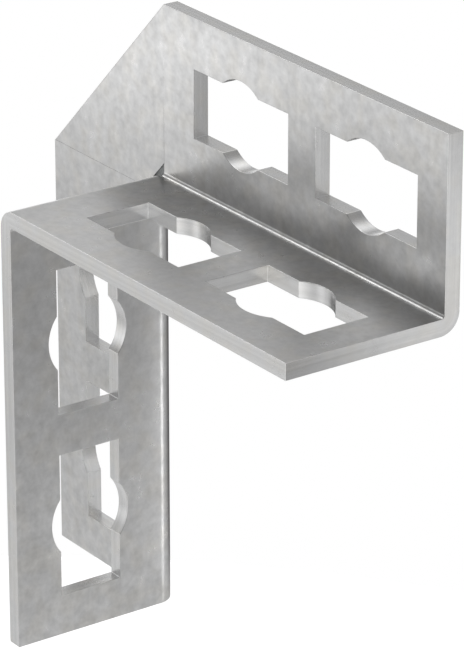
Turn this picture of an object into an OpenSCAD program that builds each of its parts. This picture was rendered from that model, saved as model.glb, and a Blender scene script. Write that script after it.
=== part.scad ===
// Three-way angle bracket for channel framing: one folded steel blank with four slotted flanges,
// and a triangular gusset that closes the corner between the two flanges at the back.
//
// The origin is the corner where the three seating planes meet: the top of the shelf, the front of
// the upright and the rear flange, and the outer face of the leg. X runs along the shelf, Y to the
// back and Z up. The bracket is its own mirror image across the plane that swaps shelf and leg.

/* [Sheet] */
// Thickness of the sheet
sheet_t = 4; // [3:0.5:6]
// Inside radius of every bend
bend_r = 1; // [0.5:0.5:3]

/* [Flanges] */
// Length of the shelf, from the outer face of the leg
shelf_len = 110; // [102:1:160]
// Length of the leg, from the top of the shelf
leg_len = 110; // [102:1:160]
// Depth of the shelf and the leg, from the back of the upright to their front edge
arm_depth = 45.5; // [38:0.5:60]
// Height of the upright, from the underside of the shelf
upright_h = 45.5; // [38:0.5:60]
// Width of the rear flange, from the inner face of the leg
rear_w = 45.5; // [38:0.5:60]

/* [Slots] */
// Number of slots in each flange
slot_count = 2; // [1:1:2]
// Length of a slot, along the flange
slot_len = 36.3; // [24:0.1:42]
// Width of a slot, across the flange
slot_w = 16.6; // [10:0.1:20]
// Diameter of the round middle of a slot, which bulges past both long sides
eye_d = 21.35; // [18:0.05:28]
// Centre of the first slot, from the outer face across the corner bend
slot_first = 35.2; // [26:0.1:42]
// Distance between the centres of two slots
slot_pitch = 46.5; // [39:0.5:54]
// Centre line of the slots, from the outer face of the flange beside
slot_gauge = 25; // [18:0.5:32]

/* [Gusset] */
// Leg of the corner cut off the gusset, which leaves the relief where the three bends meet
relief_leg = 7.85; // [5:0.05:14]

/* [Hidden] */
$fn = 96;
// Colour of the zinc coating
zinc = "silver";
// Outside radius of every bend, which is also where each flat flange starts
outer_r = bend_r + sheet_t;
// Depth of the flat part of the shelf and the leg, up to the bend at the back
flat_depth = arm_depth - outer_r;
// How far a slot cutter stands out of the sheet on each side
cut_over = 1;

// One slot, lying flat and centred: a square-cornered rectangle with a round middle.
module slot_outline() {
    square([slot_len, slot_w], center = true);
    circle(d = eye_d);
}

// The cutters for the row of slots along X, on the slots' centre line.
module slot_row() {
    for (i = [0 : slot_count - 1])
        translate([slot_first + i * slot_pitch, slot_gauge, -cut_over])
            linear_extrude(sheet_t + 2 * cut_over) slot_outline();
}

// A flat slotted flange, from the bend at its corner end and the bend along its side:
// X runs along it from the corner's outer face, and Y across it from the outer face beside.
module flange(len, width) {
    difference() {
        translate([outer_r, outer_r, 0]) cube([len - outer_r, width - outer_r, sheet_t]);
        slot_row();
    }
}

// A quarter turn of bent sheet round the Z axis, from +X to +Y.
module bend(len) {
    rotate_extrude(angle = 90) translate([bend_r, 0]) square([sheet_t, len]);
}

// One arm of the bracket: a flange that lies under the framing channel, with its top at z = 0,
// and the flange that is folded up from its back edge, with its front at y = 0.
module arm(len, height) {
    translate([0, sheet_t, 0]) rotate([180, 0, 0]) flange(len, arm_depth);
    translate([0, sheet_t, -sheet_t]) rotate([90, 0, 0]) flange(len, height);
    translate([outer_r, -bend_r, bend_r]) rotate([0, 90, 0]) bend(len - outer_r);
}

// The folded blank: the shelf with its upright, the leg with its rear flange, which is the same
// arm mirrored across the plane x = -z, and the bend between shelf and leg.
module folded_bracket() {
    color(zinc) {
        arm(shelf_len, upright_h);
        mirror([1, 0, 1]) arm(leg_len, rear_w);
        translate([outer_r, -bend_r - flat_depth, -outer_r]) rotate([90, 0, 180]) bend(flat_depth);
    }
}

// The gusset: a right-angled triangle of the same sheet between the end of the upright and the
// top of the rear flange, flush with both, with its inner corner cut off.
module corner_gusset() {
    rear_tip = [sheet_t - rear_w, -outer_r];
    upright_tip = [outer_r, upright_h - sheet_t];
    relief_top = [outer_r, relief_leg - outer_r];
    relief_side = [outer_r - relief_leg, -outer_r];
    color(zinc)
        translate([0, sheet_t, 0]) rotate([90, 0, 0]) linear_extrude(sheet_t)
            polygon([rear_tip, upright_tip, relief_top, relief_side]);
}

folded_bracket();
corner_gusset();
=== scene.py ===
import math

import bpy
import numpy as np
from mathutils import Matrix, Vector


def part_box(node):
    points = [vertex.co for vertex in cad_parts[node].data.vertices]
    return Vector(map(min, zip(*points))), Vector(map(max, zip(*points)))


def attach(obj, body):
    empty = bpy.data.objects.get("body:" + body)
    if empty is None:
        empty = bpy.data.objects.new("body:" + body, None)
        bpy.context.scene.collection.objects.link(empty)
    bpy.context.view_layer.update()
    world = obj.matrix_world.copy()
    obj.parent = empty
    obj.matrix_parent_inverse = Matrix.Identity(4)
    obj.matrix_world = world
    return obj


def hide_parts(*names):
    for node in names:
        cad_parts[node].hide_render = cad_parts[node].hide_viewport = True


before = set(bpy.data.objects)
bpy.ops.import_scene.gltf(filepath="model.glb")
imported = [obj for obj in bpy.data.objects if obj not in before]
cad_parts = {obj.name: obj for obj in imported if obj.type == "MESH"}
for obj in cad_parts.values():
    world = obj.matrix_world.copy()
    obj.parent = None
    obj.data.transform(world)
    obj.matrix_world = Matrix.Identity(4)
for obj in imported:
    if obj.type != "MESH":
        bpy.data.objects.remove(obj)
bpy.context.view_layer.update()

# The folded bracket is one blank of 4 mm steel, punched with eight slots, folded along three lines
# and dipped in zinc. The shelf and the upright make one arm, the leg and the rear flange the same
# arm mirrored across the plane x = -z, and the third bend joins the two.
MM = 0.001
bracket_low, bracket_high = (np.array(corner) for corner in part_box("folded_bracket"))
SHEET = bracket_high[1]
BEND_R = 1 * MM
OUTER_R = BEND_R + SHEET
ARM = bracket_high[0]
REACH = -bracket_low[1]
SLOT_LEN = 36.3 * MM
SLOT_W = 16.6 * MM
EYE_R = 21.35 * MM / 2
SLOT_FIRST = 35.2 * MM
SLOT_PITCH = 46.5 * MM
SLOT_COUNT = 2
SLOT_LINE = 21 * MM
EYE_STEPS = 24
STRAIGHT_STEPS = 2
STRIP_STEPS = 2
BEND_STEPS = 16
LIP = 0.32 * MM
LIP_STEPS = 3
SEAM_LIP = 0.1 * MM
SHARP_TURN = math.radians(25)
# Points this close are one point, and points this close to a face lie on it.
MERGED = 0.001 * MM
TOUCHING = MM / 10
X, Y, Z = np.eye(3)
# Each flange: the way it runs from the corner, the way it reaches from the flange beside it, and
# the way its seating face looks.
FLANGES = {"shelf": (X, -Y, Z), "upright": (X, Z, -Y), "leg": (-Z, -Y, -X), "rear": (-Z, -X, -Y)}


def slot_stations():
    """Stations along one slot: its ends, the middles of its straights, and the eye by equal angles."""
    join = math.asin(math.sqrt(EYE_R**2 - (SLOT_W / 2) ** 2) / EYE_R)
    eye = EYE_R * np.sin(np.linspace(-join, join, EYE_STEPS + 1))
    ends = np.linspace(SLOT_LEN / 2, eye[-1], STRAIGHT_STEPS + 1)[:-1]
    return np.concatenate([-ends, eye, ends[::-1]])


def half_width(from_centre):
    """Half the slot's width: the straight sides, or the eye's circle where that is wider."""
    circle = np.sqrt(np.maximum(EYE_R**2 - from_centre**2, 0))
    return np.maximum(circle, SLOT_W / 2)


def flange_grid():
    """Points along and across a flat flange, and which squares of the grid are sheet.

    The rows run from the bend to the slot's near side, over the slot and on to the free edge, so
    they follow the eyes; the squares of the middle rows are left out over the slots."""
    slot = slot_stations()
    centres = SLOT_FIRST + SLOT_PITCH * np.arange(SLOT_COUNT)
    along = np.concatenate([[OUTER_R], (centres[:, None] + slot).ravel(), [ARM]])
    from_slot = np.abs(along[:, None] - centres).min(1)
    half = half_width(from_slot)
    bend_side, free_side = np.full_like(half, BEND_R), np.full_like(half, REACH)
    near = np.linspace(bend_side, SLOT_LINE - half, STRIP_STEPS + 1)
    middle = np.linspace(SLOT_LINE - half, SLOT_LINE + half, STRIP_STEPS + 1)[1:-1]
    far = np.linspace(SLOT_LINE + half, free_side, STRIP_STEPS + 1)
    across = np.concatenate([near, middle, far])
    sheet = np.ones((len(across) - 1, len(along) - 1), bool)
    midway = (along[1:] + along[:-1]) / 2
    over_slot = np.abs(midway[:, None] - centres).min(1) < SLOT_LEN / 2
    sheet[len(near) - 1 : len(near) + len(middle), over_slot] = False
    return np.broadcast_to(along, across.shape), across, sheet


def flat_flange(name):
    """The seating face of one flange: along * its run + across * its reach."""
    run, reach, facing = FLANGES[name]
    along, across, sheet = flange_grid()
    points = along[..., None] * run + across[..., None] * reach
    return points, np.broadcast_to(facing, points.shape), sheet


def bend_between(edge, first, second, radius):
    """The seating face of a bend: the edge line turned from facing first to facing second.

    Each point is edge + radius * (cos a * first + sin a * second - first), for a from 0 to 90
    degrees. The radius is negative inside a fold, where the face looks at the bend's axis."""
    turn = np.linspace(0, math.pi / 2, BEND_STEPS + 1)[:, None]
    facing = np.cos(turn) * first + np.sin(turn) * second
    points = edge + radius * (facing - first)[:, None, :]
    return points, np.broadcast_to(facing[:, None, :], points.shape), None


def joined_grids(faces):
    """The grids of a seating face as one mesh: its points, the way each faces, and its squares.

    Points that round to the same multiple of MERGED become one, and points that no square needs
    are dropped. A square is turned round where the cross product of its diagonals looks against
    its points' facing."""
    points = np.concatenate([p.reshape(-1, 3) for p, _, _ in faces])
    facing = np.concatenate([n.reshape(-1, 3) for _, n, _ in faces])
    squares, first = [], 0
    for p, _, kept in faces:
        rows, columns = p.shape[:2]
        corner = (np.arange(rows - 1)[:, None] * columns + np.arange(columns - 1)) + first
        square = np.stack([corner, corner + 1, corner + columns + 1, corner + columns], -1)
        squares.append(square[kept] if kept is not None else square.reshape(-1, 4))
        first += rows * columns
    squares = np.concatenate(squares)
    _, one_of, merged = np.unique(np.round(points / MERGED).astype(int), axis=0,
                                  return_index=True, return_inverse=True)
    points, facing, squares = points[one_of], facing[one_of], merged.ravel()[squares]
    used, squares = np.unique(squares, return_inverse=True)
    points, facing, squares = points[used], facing[used], squares.reshape(-1, 4)
    diagonal = points[squares[:, 2]] - points[squares[:, 0]]
    other_diagonal = points[squares[:, 3]] - points[squares[:, 1]]
    outward = np.cross(diagonal, other_diagonal)
    turned = (outward * facing[squares].mean(1)).sum(1) < 0
    squares[turned] = squares[turned, ::-1]
    return points, facing, squares


def open_edges(squares, count):
    """The starts and ends of the edges that only one square has, going round with that square."""
    start, end = squares.ravel(), np.roll(squares, -1, 1).ravel()
    alone = ~np.isin(start * count + end, end * count + start)
    return start[alone], end[alone]


def lip_weights(mesh, vertices, start, end, seam):
    """The bevel weight of every edge: 1 on a lip, SEAM_LIP / LIP on a seam and 0 elsewhere.

    The lips are the open edges of the front, the same edges of the back, and the edge from front
    to back at each point where the rim turns by more than SHARP_TURN. A seam is a lip with both
    ends where seam() is true."""
    total = len(vertices)
    count = total // 2
    step = vertices[end] - vertices[start]
    step /= np.linalg.norm(step, axis=1)[:, None]
    leaving, arriving = np.zeros((count, 3)), np.zeros((count, 3))
    leaving[start], arriving[end] = step, step
    sharp = start[(leaving[start] * arriving[start]).sum(1) < math.cos(SHARP_TURN)]
    low, high = np.minimum(start, end), np.maximum(start, end)
    lips = np.concatenate([low * total + high, (low + count) * total + high + count,
                           sharp * total + sharp + count])
    edges = np.empty(2 * len(mesh.edges), np.int64)
    mesh.edges.foreach_get("vertices", edges)
    edges = np.sort(edges.reshape(-1, 2), 1)
    weight = np.isin(edges[:, 0] * total + edges[:, 1], lips).astype(np.float32)
    at_seam = seam(vertices[edges[:, 0]]) & seam(vertices[edges[:, 1]])
    weight[at_seam] *= SEAM_LIP / LIP
    return weight


def sheet_metal(name, faces, thickness, seam, materials, in_painted_shade=None):
    """A closed piece of sheet from the grids of its seating face.

    The back is each point less thickness * its facing, and the rim joins the open edges of the
    two. The rim takes the second material, or the third, which is painted shade, where the last
    argument is true at both ends. Its lips are rounded, and less so where seam() says that they lie
    against the other piece."""
    points, facing, squares = joined_grids(faces)
    count = len(points)
    start, end = open_edges(squares, count)
    vertices = np.concatenate([points, points - thickness * facing])
    rim = np.stack([end, start, start + count, end + count], 1)
    everything = np.concatenate([squares, squares[:, ::-1] + count, rim])
    mesh = bpy.data.meshes.new(name)
    mesh.from_pydata(vertices.tolist(), [], everything.tolist())
    mesh.polygons.foreach_set("use_smooth", np.ones(len(everything), bool))
    finish = np.zeros(len(everything), np.int32)
    # The third material is painted shade, laid on the rim where the mask holds at both ends.
    finish[-len(rim):] = 1 if in_painted_shade is None else 1 + (in_painted_shade(points[start]) & in_painted_shade(points[end]))
    mesh.polygons.foreach_set("material_index", finish)
    for material in materials:
        mesh.materials.append(material)
    weight = lip_weights(mesh, vertices, start, end, seam)
    mesh.attributes.new("bevel_weight_edge", "FLOAT", "EDGE").data.foreach_set("value", weight)
    mesh.validate()
    piece = bpy.data.objects.new(name, mesh)
    bpy.context.scene.collection.objects.link(piece)
    bevel = piece.modifiers.new("lips", "BEVEL")
    bevel.width = LIP
    bevel.segments = LIP_STEPS
    bevel.limit_method = "WEIGHT"
    bevel.harden_normals = True
    return piece


def against_gusset(points):
    """The ends of the upright and the rear flange that butt against the gusset."""
    x, y, z = points.T
    upright_end = (np.abs(x - OUTER_R) < TOUCHING) & (z > BEND_R / 2)
    rear_end = (np.abs(z + OUTER_R) < TOUCHING) & (x < -BEND_R / 2)
    return (upright_end | rear_end) & (y > -TOUCHING)


# Zinc sets in small soft clouds over broader patches, and turns a little warm in spots. The sheared
# edges and the punched walls of the slots keep lines of the tool, and are a shade lighter and
# smoother than the faces.
ZINC_FACE = (0.56, 0.56, 0.56)
ZINC_EDGE = (0.635, 0.635, 0.635)
WARMTH = (1.012, 1.0, 0.975)
CLOUD = 2.7 * MM
CLOUD_STRETCH = 0.92
PATCH = 10 * MM
PATCH_STRETCH = 1.3
WARM_SPOT = 6 * MM
WARM_FROM = -0.05
WARM_FULL = 0.15
TOOL_LINE = 1 * MM
TOOL_LINE_RUN = 60 * MM


def add_node(tree, kind, inputs=(), **settings):
    """A node of this kind, with its settings and the plain values or links of its inputs."""
    node = tree.nodes.new(kind)
    for name, value in settings.items():
        setattr(node, name, value)
    for name, value in dict(inputs).items():
        if isinstance(value, bpy.types.NodeSocket):
            tree.links.new(value, node.inputs[name])
        else:
            node.inputs[name].default_value = value
    return node


def new_group(name, inputs, outputs):
    """An empty shader group. inputs gives each float socket and its default."""
    tree = bpy.data.node_groups.new(name, "ShaderNodeTree")
    for socket, value in inputs.items():
        made = tree.interface.new_socket(name=socket, in_out="INPUT",
                                         socket_type="NodeSocketFloat")
        made.default_value = value
    for socket in outputs:
        tree.interface.new_socket(name=socket, in_out="OUTPUT", socket_type="NodeSocketFloat")
    return tree, tree.nodes.new("NodeGroupInput"), tree.nodes.new("NodeGroupOutput")


def drawn_noise(tree, size, stretch, detail):
    """Noise centred on 0, with cells of this size along X and stretch times that along Y and Z."""
    where = add_node(tree, "ShaderNodeTexCoord").outputs["Object"]
    short = add_node(tree, "ShaderNodeMath", {0: 1.0, 1: size}, operation="DIVIDE").outputs[0]
    long = add_node(tree, "ShaderNodeMath", {0: short, 1: stretch}, operation="DIVIDE").outputs[0]
    cells = add_node(tree, "ShaderNodeCombineXYZ", {"X": short, "Y": long, "Z": long}).outputs[0]
    placed = add_node(tree, "ShaderNodeVectorMath", {0: where, 1: cells}, operation="MULTIPLY")
    noise = add_node(tree, "ShaderNodeTexNoise", {"Vector": placed.outputs[0], "Scale": 1.0,
                                                  "Detail": detail, "Roughness": 0.6})
    return add_node(tree, "ShaderNodeMath", {0: noise.outputs["Fac"], 1: 0.5},
                    operation="SUBTRACT").outputs[0]


def make_zinc_clouds():
    """Zinc clouds: small clouds plus a share of broad patches, and a mask of warm spots.

    The mask rises from 0 to 1 as the noise of the spots goes from WARM_FROM to WARM_FULL."""
    tree, given, result = new_group(
        "zinc_clouds",
        {"Size": CLOUD, "Stretch": CLOUD_STRETCH, "Broad size": PATCH, "Broad share": 0.5},
        ["Value", "Warm"]
    )
    small = drawn_noise(tree, given.outputs["Size"], given.outputs["Stretch"], detail=2.0)
    broad = drawn_noise(tree, given.outputs["Broad size"], PATCH_STRETCH, detail=1.0)
    both = add_node(tree, "ShaderNodeMath", {0: broad, 1: given.outputs["Broad share"], 2: small},
                    operation="MULTIPLY_ADD")
    spots = drawn_noise(tree, WARM_SPOT, stretch=1.0, detail=1.0)
    warm = add_node(tree, "ShaderNodeMapRange", {"Value": spots, "From Min": WARM_FROM,
                                                 "From Max": WARM_FULL})
    tree.links.new(both.outputs[0], result.inputs["Value"])
    tree.links.new(warm.outputs["Result"], result.inputs["Warm"])
    return tree


def make_tool_lines():
    """Tool lines on the cut edges: noise by depth in the sheet, drawn out along the edge.

    The depth below the seating faces, plus the bend radius, is |max(q, 0)|, where q is
    (y, min(x, -z)) plus the bend radius, so the lines also follow the two long bends."""
    tree, given, result = new_group(
        "tool_lines", {"Width": TOOL_LINE, "Length": TOOL_LINE_RUN, "Bend radius": BEND_R},
        ["Value"]
    )
    where = add_node(tree, "ShaderNodeTexCoord").outputs["Object"]
    x, y, z = add_node(tree, "ShaderNodeSeparateXYZ", {0: where}).outputs
    down = add_node(tree, "ShaderNodeMath", {0: z, 1: -1.0}, operation="MULTIPLY").outputs[0]
    inward = add_node(tree, "ShaderNodeMath", {0: x, 1: down}, operation="MINIMUM").outputs[0]
    flat = add_node(tree, "ShaderNodeCombineXYZ", {"X": y, "Y": inward}).outputs[0]
    corner = add_node(tree, "ShaderNodeVectorMath", {0: flat, 1: given.outputs["Bend radius"]},
                      operation="ADD").outputs[0]
    outside = add_node(tree, "ShaderNodeVectorMath", {0: corner, 1: (0, 0, 0)},
                       operation="MAXIMUM").outputs[0]
    within = add_node(tree, "ShaderNodeVectorMath", {0: outside, 1: (1, 1, 0)},
                      operation="MULTIPLY").outputs[0]
    depth = add_node(tree, "ShaderNodeVectorMath", {0: within}, operation="LENGTH").outputs["Value"]
    across = add_node(tree, "ShaderNodeMath", {0: depth, 1: given.outputs["Width"]},
                      operation="DIVIDE").outputs[0]
    long = add_node(tree, "ShaderNodeMath", {0: 1.0, 1: given.outputs["Length"]},
                    operation="DIVIDE").outputs[0]
    along = add_node(tree, "ShaderNodeVectorMath", {0: where, "Scale": long}, operation="SCALE")
    offset = add_node(tree, "ShaderNodeCombineXYZ", {"X": across}).outputs[0]
    placed = add_node(tree, "ShaderNodeVectorMath", {0: along.outputs[0], 1: offset},
                      operation="ADD").outputs[0]
    noise = add_node(tree, "ShaderNodeTexNoise", {"Vector": placed, "Scale": 1.0, "Detail": 1.0})
    centred = add_node(tree, "ShaderNodeMath", {0: noise.outputs["Fac"], 1: 0.5},
                       operation="SUBTRACT")
    tree.links.new(centred.outputs[0], result.inputs["Value"])
    return tree


zinc_clouds = make_zinc_clouds()
tool_lines = make_tool_lines()


def make_zinc(name, colour, clouds, lines, roughness, roughness_spread, relief):
    """Zinc coating: the clouds and lines shade the colour, move the roughness and raise a bump."""
    material = bpy.data.materials.new(name)
    material.use_nodes = True
    tree = material.node_tree
    shader = tree.nodes["Principled BSDF"]
    shader.inputs["Metallic"].default_value = 1.0
    cloud = add_node(tree, "ShaderNodeGroup", node_tree=zinc_clouds)
    line = add_node(tree, "ShaderNodeGroup", node_tree=tool_lines)
    faint = add_node(tree, "ShaderNodeMath", {0: line.outputs["Value"], 1: lines},
                     operation="MULTIPLY").outputs[0]
    marks = add_node(tree, "ShaderNodeMath", {0: cloud.outputs["Value"], 1: clouds, 2: faint},
                     operation="MULTIPLY_ADD").outputs[0]
    shade = add_node(tree, "ShaderNodeMath", {0: marks, 1: 1.0}, operation="ADD").outputs[0]
    warm = tuple(c * w for c, w in zip(colour, WARMTH))
    tint = add_node(tree, "ShaderNodeMix", {"Factor": cloud.outputs["Warm"]}, data_type="RGBA")
    # Sockets 6 and 7 of a Mix node are its two colours.
    tint.inputs[6].default_value = (*colour, 1)
    tint.inputs[7].default_value = (*warm, 1)
    shaded = add_node(tree, "ShaderNodeVectorMath", {0: tint.outputs[2], "Scale": shade},
                      operation="SCALE")
    tree.links.new(shaded.outputs[0], shader.inputs["Base Color"])
    rough = add_node(tree, "ShaderNodeMath", {0: cloud.outputs["Value"], 1: -roughness_spread,
                                              2: roughness}, operation="MULTIPLY_ADD")
    tree.links.new(rough.outputs[0], shader.inputs["Roughness"])
    bump = add_node(tree, "ShaderNodeBump", {"Height": marks, "Strength": 1.0,
                                             "Distance": relief})
    tree.links.new(bump.outputs["Normal"], shader.inputs["Normal"])
    return material


zinc_face = make_zinc("zinc_face", ZINC_FACE, clouds=0.53, lines=0.0, roughness=0.30,
                      roughness_spread=0.12, relief=0.013 * MM)
zinc_edge = make_zinc("zinc_edge", ZINC_EDGE, clouds=0.10, lines=0.26, roughness=0.26,
                      roughness_spread=0.06, relief=0.02 * MM)

flats = {name: flat_flange(name) for name in FLANGES}
shelf_bend = bend_between(flats["shelf"][0][0], Z, -Y, -BEND_R)
leg_bend = bend_between(flats["leg"][0][0], -X, -Y, -BEND_R)
corner_bend = bend_between(flats["shelf"][0][:, 0], Z, -X, OUTER_R)
bracket = sheet_metal("folded_sheet", [*flats.values(), shelf_bend, leg_bend, corner_bend],
                      SHEET, against_gusset, [zinc_face, zinc_edge])
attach(bracket, "root")
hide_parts("folded_bracket")

# The gusset is a triangle of the same sheet, set flush between the end of the upright and the top
# of the rear flange and welded from behind, with its inner corner cut off to clear the bends. The
# wall of that cut is painted dark grey as painted shade, for the shadow in the notch.
gusset_low, gusset_high = (np.array(corner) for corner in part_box("corner_gusset"))
RELIEF_LEG = 7.85 * MM
GUSSET_STEPS = 4
# The dark grey of the cut's wall is painted shade, for the shadow in the notch.
ZINC_PAINTED_SHADE = (0.30, 0.31, 0.31)


def gusset_face():
    """The gusset's front, as a patch: the point at s, t is outer(t) + s * (inner(t) - outer(t)).

    outer runs straight along the long side, and inner straight along the cut."""
    rear_tip = np.array([gusset_low[0], 0, gusset_low[2]])
    upright_tip = np.array([gusset_high[0], 0, gusset_high[2]])
    relief_side = np.array([gusset_high[0] - RELIEF_LEG, 0, gusset_low[2]])
    relief_top = np.array([gusset_high[0], 0, gusset_low[2] + RELIEF_LEG])
    share = np.linspace(0, 1, GUSSET_STEPS + 1)
    s, t = share[None, :, None], share[:, None, None]
    outer = rear_tip + t * (upright_tip - rear_tip)
    inner = relief_side + t * (relief_top - relief_side)
    points = outer + s * (inner - outer)
    return points, np.broadcast_to(-Y, points.shape), None


def against_bracket(points):
    """The two short sides of the gusset, which butt against the bracket."""
    x, _, z = points.T
    return (x > gusset_high[0] - TOUCHING) | (z < gusset_low[2] + TOUCHING)


def relief_cut(points):
    """The cut across the gusset's inner corner, whose wall takes the painted shade."""
    along_cut = gusset_high[0] - RELIEF_LEG - gusset_low[2]
    return np.abs(points[:, 0] - points[:, 2] - along_cut) < TOUCHING


# Painted shade: the wall of the relief cut is painted dark grey for the shadow in the notch.
zinc_painted_shade = make_zinc("zinc_painted_shade", ZINC_PAINTED_SHADE, clouds=0.8, lines=0.5, roughness=0.5,
                       roughness_spread=0.15, relief=0.05 * MM)
gusset = sheet_metal("gusset_plate", [gusset_face()], SHEET, against_bracket,
                     [zinc_face, zinc_edge, zinc_painted_shade], relief_cut)
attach(gusset, "root")
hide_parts("corner_gusset")

# The studio: a pale floor disc well below the bracket, which hangs free as it does on its channel,
# in a white room. Broad soft lights stand far off, and small cards close by lift the faces that
# look at them. A brightness of 1 is white to a perfect mirror.
FLOOR_DROP = 0.12
FLOOR_R = 0.376
FLOOR_AT = (0.06, -0.10)
FLOOR_STEPS = 96
FLOOR_PAINT = (0.6, 0.6, 0.6)
# What the camera sees added to the floor's paint to make it white, and the shares of white that
# the steel mirrors in the floor and in the room.
SEEN_LIFT = 0.75
MIRRORED_LIFT = 0.40
ROOM_WHITE = 0.02
# Each far light: azimuth from +X to +Y and elevation in degrees, spread and brightness. The higher
# the spread, the narrower the light.
FAR_LIGHTS = {
    "left": (205, -5, 30, 2.0), "left, raised": (180, 40, 30, 1.75),
    "left, high": (170, 60, 20, 3.0), "left front": (235, -15, 30, 0.65),
    "left front, level": (215, 10, 60, 0.25), "left front, raised": (215, 25, 60, 0.2),
    "left front, low": (225, -45, 30, 2.0), "left back, low": (145, -5, 30, 1.35),
    "left back, raised": (150, 25, 30, 0.2), "left back, high": (145, 45, 30, 0.95),
    "above": (160, 60, 8, 0.7), "back": (70, 0, 8, 0.75),
    "right back, high": (45, 35, 8, 0.75), "right back, low": (45, -35, 8, 0.3),
    "right": (0, 5, 15, 0.35), "right front, low": (315, -35, 8, 1.9),
    "front": (280, 0, 15, 0.5), "front, low": (270, -60, 8, 3.4),
}
# Each card: the point it faces, azimuth, elevation, distance, width and height, and brightness.
# The camera sees azimuth 35, elevation -22.7 mirrored in the leg and the right end, and 215, -22.7
# in the upright.
CARDS = {
    "card_front_left": ((0.03, -0.02, -0.03), 238, 0, 0.30, 0.20, 0.20, 0.4),
    "card_low_left": ((0, -0.012, -0.05), 215, 10, 0.15, 0.07, 0.06, 0.3),
    "card_upright": ((-0.005, 0, 0.035), 230, -10, 0.16, 0.09, 0.09, 0.09),
    "card_tip": ((-0.005, 0, 0.045), 215, -22.7, 0.09, 0.05, 0.05, 0.13),
    "card_end": ((0.11, 0, 0.02), 35, -22.7, 0.10, 0.07, 0.07, 0.4),
    "card_walls": ((0.06, 0, 0.02), 35, -22.7, 0.12, 0.08, 0.08, 0.13),
    "card_bend": ((0.004, 0, -0.07), 47, 0, 0.032, 0.005, 0.115, 2.4),
}


def toward(azimuth, elevation):
    """The unit vector at this azimuth from +X to +Y and this elevation, both in degrees."""
    turn, rise = math.radians(azimuth), math.radians(elevation)
    return np.array([math.cos(turn) * math.cos(rise), math.sin(turn) * math.cos(rise),
                     math.sin(rise)])


def make_floor_paint():
    """Matt paint that the camera sees lifted to white, and mirrors and glass part of the way."""
    material = bpy.data.materials.new("floor_paint")
    material.use_nodes = True
    tree = material.node_tree
    tree.nodes.clear()
    ray = add_node(tree, "ShaderNodeLightPath")
    mirrored = add_node(tree, "ShaderNodeMath", {0: ray.outputs["Is Glossy Ray"],
                                                 1: ray.outputs["Is Transmission Ray"]},
                        operation="MAXIMUM").outputs[0]
    part = add_node(tree, "ShaderNodeMath", {0: mirrored, 1: MIRRORED_LIFT},
                    operation="MULTIPLY").outputs[0]
    lift = add_node(tree, "ShaderNodeMath", {0: ray.outputs["Is Camera Ray"], 1: SEEN_LIFT,
                                             2: part}, operation="MULTIPLY_ADD").outputs[0]
    paint = add_node(tree, "ShaderNodeBsdfDiffuse", {"Color": (*FLOOR_PAINT, 1)})
    glow = add_node(tree, "ShaderNodeEmission", {"Strength": lift})
    both = add_node(tree, "ShaderNodeAddShader", {0: paint.outputs[0], 1: glow.outputs[0]})
    out = add_node(tree, "ShaderNodeOutputMaterial")
    tree.links.new(both.outputs[0], out.inputs["Surface"])
    return material


floor_z = bracket_low[2] - FLOOR_DROP
turn = np.linspace(0, 2 * math.pi, FLOOR_STEPS, endpoint=False)
rim = np.stack([FLOOR_AT[0] + FLOOR_R * np.cos(turn), FLOOR_AT[1] + FLOOR_R * np.sin(turn),
                np.full(FLOOR_STEPS, floor_z)], 1)
floor_mesh = bpy.data.meshes.new("floor")
floor_mesh.from_pydata(rim.tolist(), [], [list(range(FLOOR_STEPS))])
floor_mesh.materials.append(make_floor_paint())
floor = bpy.data.objects.new("floor", floor_mesh)
bpy.context.scene.collection.objects.link(floor)


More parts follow.
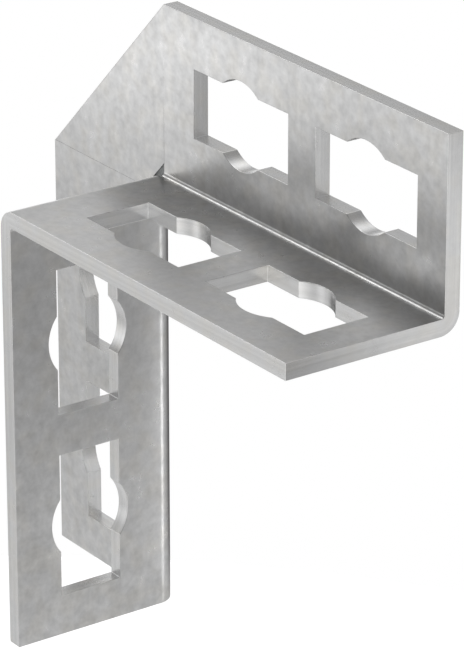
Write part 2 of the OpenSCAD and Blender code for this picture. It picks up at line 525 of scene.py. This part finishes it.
def make_room():
    """The room: white to the camera; as light, the sum of brightness * exp(spread * (cos - 1)).

    cos is the cosine of the angle from each far light, so each is a broad soft lobe."""
    world = bpy.data.worlds.new("room")
    world.use_nodes = True
    tree = world.node_tree
    tree.nodes.clear()
    way = add_node(tree, "ShaderNodeTexCoord").outputs["Generated"]
    ray = add_node(tree, "ShaderNodeLightPath")
    mirrored = add_node(tree, "ShaderNodeMath", {0: ray.outputs["Is Glossy Ray"],
                                                 1: ray.outputs["Is Transmission Ray"]},
                        operation="MAXIMUM").outputs[0]
    total = add_node(tree, "ShaderNodeMath", {0: mirrored, 1: ROOM_WHITE},
                     operation="MULTIPLY").outputs[0]
    for azimuth, elevation, spread, brightness in FAR_LIGHTS.values():
        cosine = add_node(tree, "ShaderNodeVectorMath", {0: way, 1: toward(azimuth, elevation)},
                          operation="DOT_PRODUCT").outputs["Value"]
        power = add_node(tree, "ShaderNodeMath", {0: cosine, 1: spread, 2: -spread},
                         operation="MULTIPLY_ADD").outputs[0]
        lobe = add_node(tree, "ShaderNodeMath", {0: power}, operation="EXPONENT").outputs[0]
        total = add_node(tree, "ShaderNodeMath", {0: lobe, 1: brightness, 2: total},
                         operation="MULTIPLY_ADD").outputs[0]
    light = add_node(tree, "ShaderNodeBackground", {"Strength": total})
    white = add_node(tree, "ShaderNodeBackground", {"Color": (1, 1, 1, 1), "Strength": 1.0})
    light.inputs["Color"].default_value = (1, 1, 1, 1)
    mix = add_node(tree, "ShaderNodeMixShader", {0: ray.outputs["Is Camera Ray"],
                                                 1: light.outputs[0], 2: white.outputs[0]})
    out = add_node(tree, "ShaderNodeOutputWorld")
    tree.links.new(mix.outputs[0], out.inputs["Surface"])
    return world


def soft_card(name, faces, azimuth, elevation, distance, width, height, brightness):
    """An upright oval soft lamp that faces a point, and that the camera doesn't see.

    An oval of this width and height that gives off brightness b has a power of
    pi * (pi / 4 * width * height) * b."""
    lamp = bpy.data.lights.new(name, "AREA")
    lamp.shape = "ELLIPSE"
    lamp.size = width
    lamp.size_y = height
    lamp.energy = math.pi**2 / 4 * width * height * brightness
    card = bpy.data.objects.new(name, lamp)
    away = toward(azimuth, elevation)
    card.location = np.array(faces) + distance * away
    card.rotation_euler = Vector(away).to_track_quat("Z", "Y").to_euler()
    card.visible_camera = False
    bpy.context.scene.collection.objects.link(card)


bpy.context.scene.world = make_room()
for name, settings in CARDS.items():
    soft_card(name, *settings)

# The camera: three quarters from the right and a little above, with a long lens, so that the
# 464 x 652 picture frames the bracket as the photograph does.
CAMERA_AT = (0.7435, -0.50215, 0.33629)
CAMERA_TURN = 54.784
CAMERA_TILT = 22.718
PICTURE_LONG_SIDE = 652
FOCAL_PIXELS = 4137.4
SENSOR = 36.0

lens = bpy.data.cameras.new("camera")
lens.sensor_width = SENSOR
lens.lens = FOCAL_PIXELS * SENSOR / PICTURE_LONG_SIDE
camera = bpy.data.objects.new("camera", lens)
camera.location = CAMERA_AT
camera.rotation_euler = (math.radians(90 - CAMERA_TILT), 0, math.radians(CAMERA_TURN))
bpy.context.scene.collection.objects.link(camera)
bpy.context.scene.camera = camera
bpy.context.scene.view_settings.view_transform = "Standard"
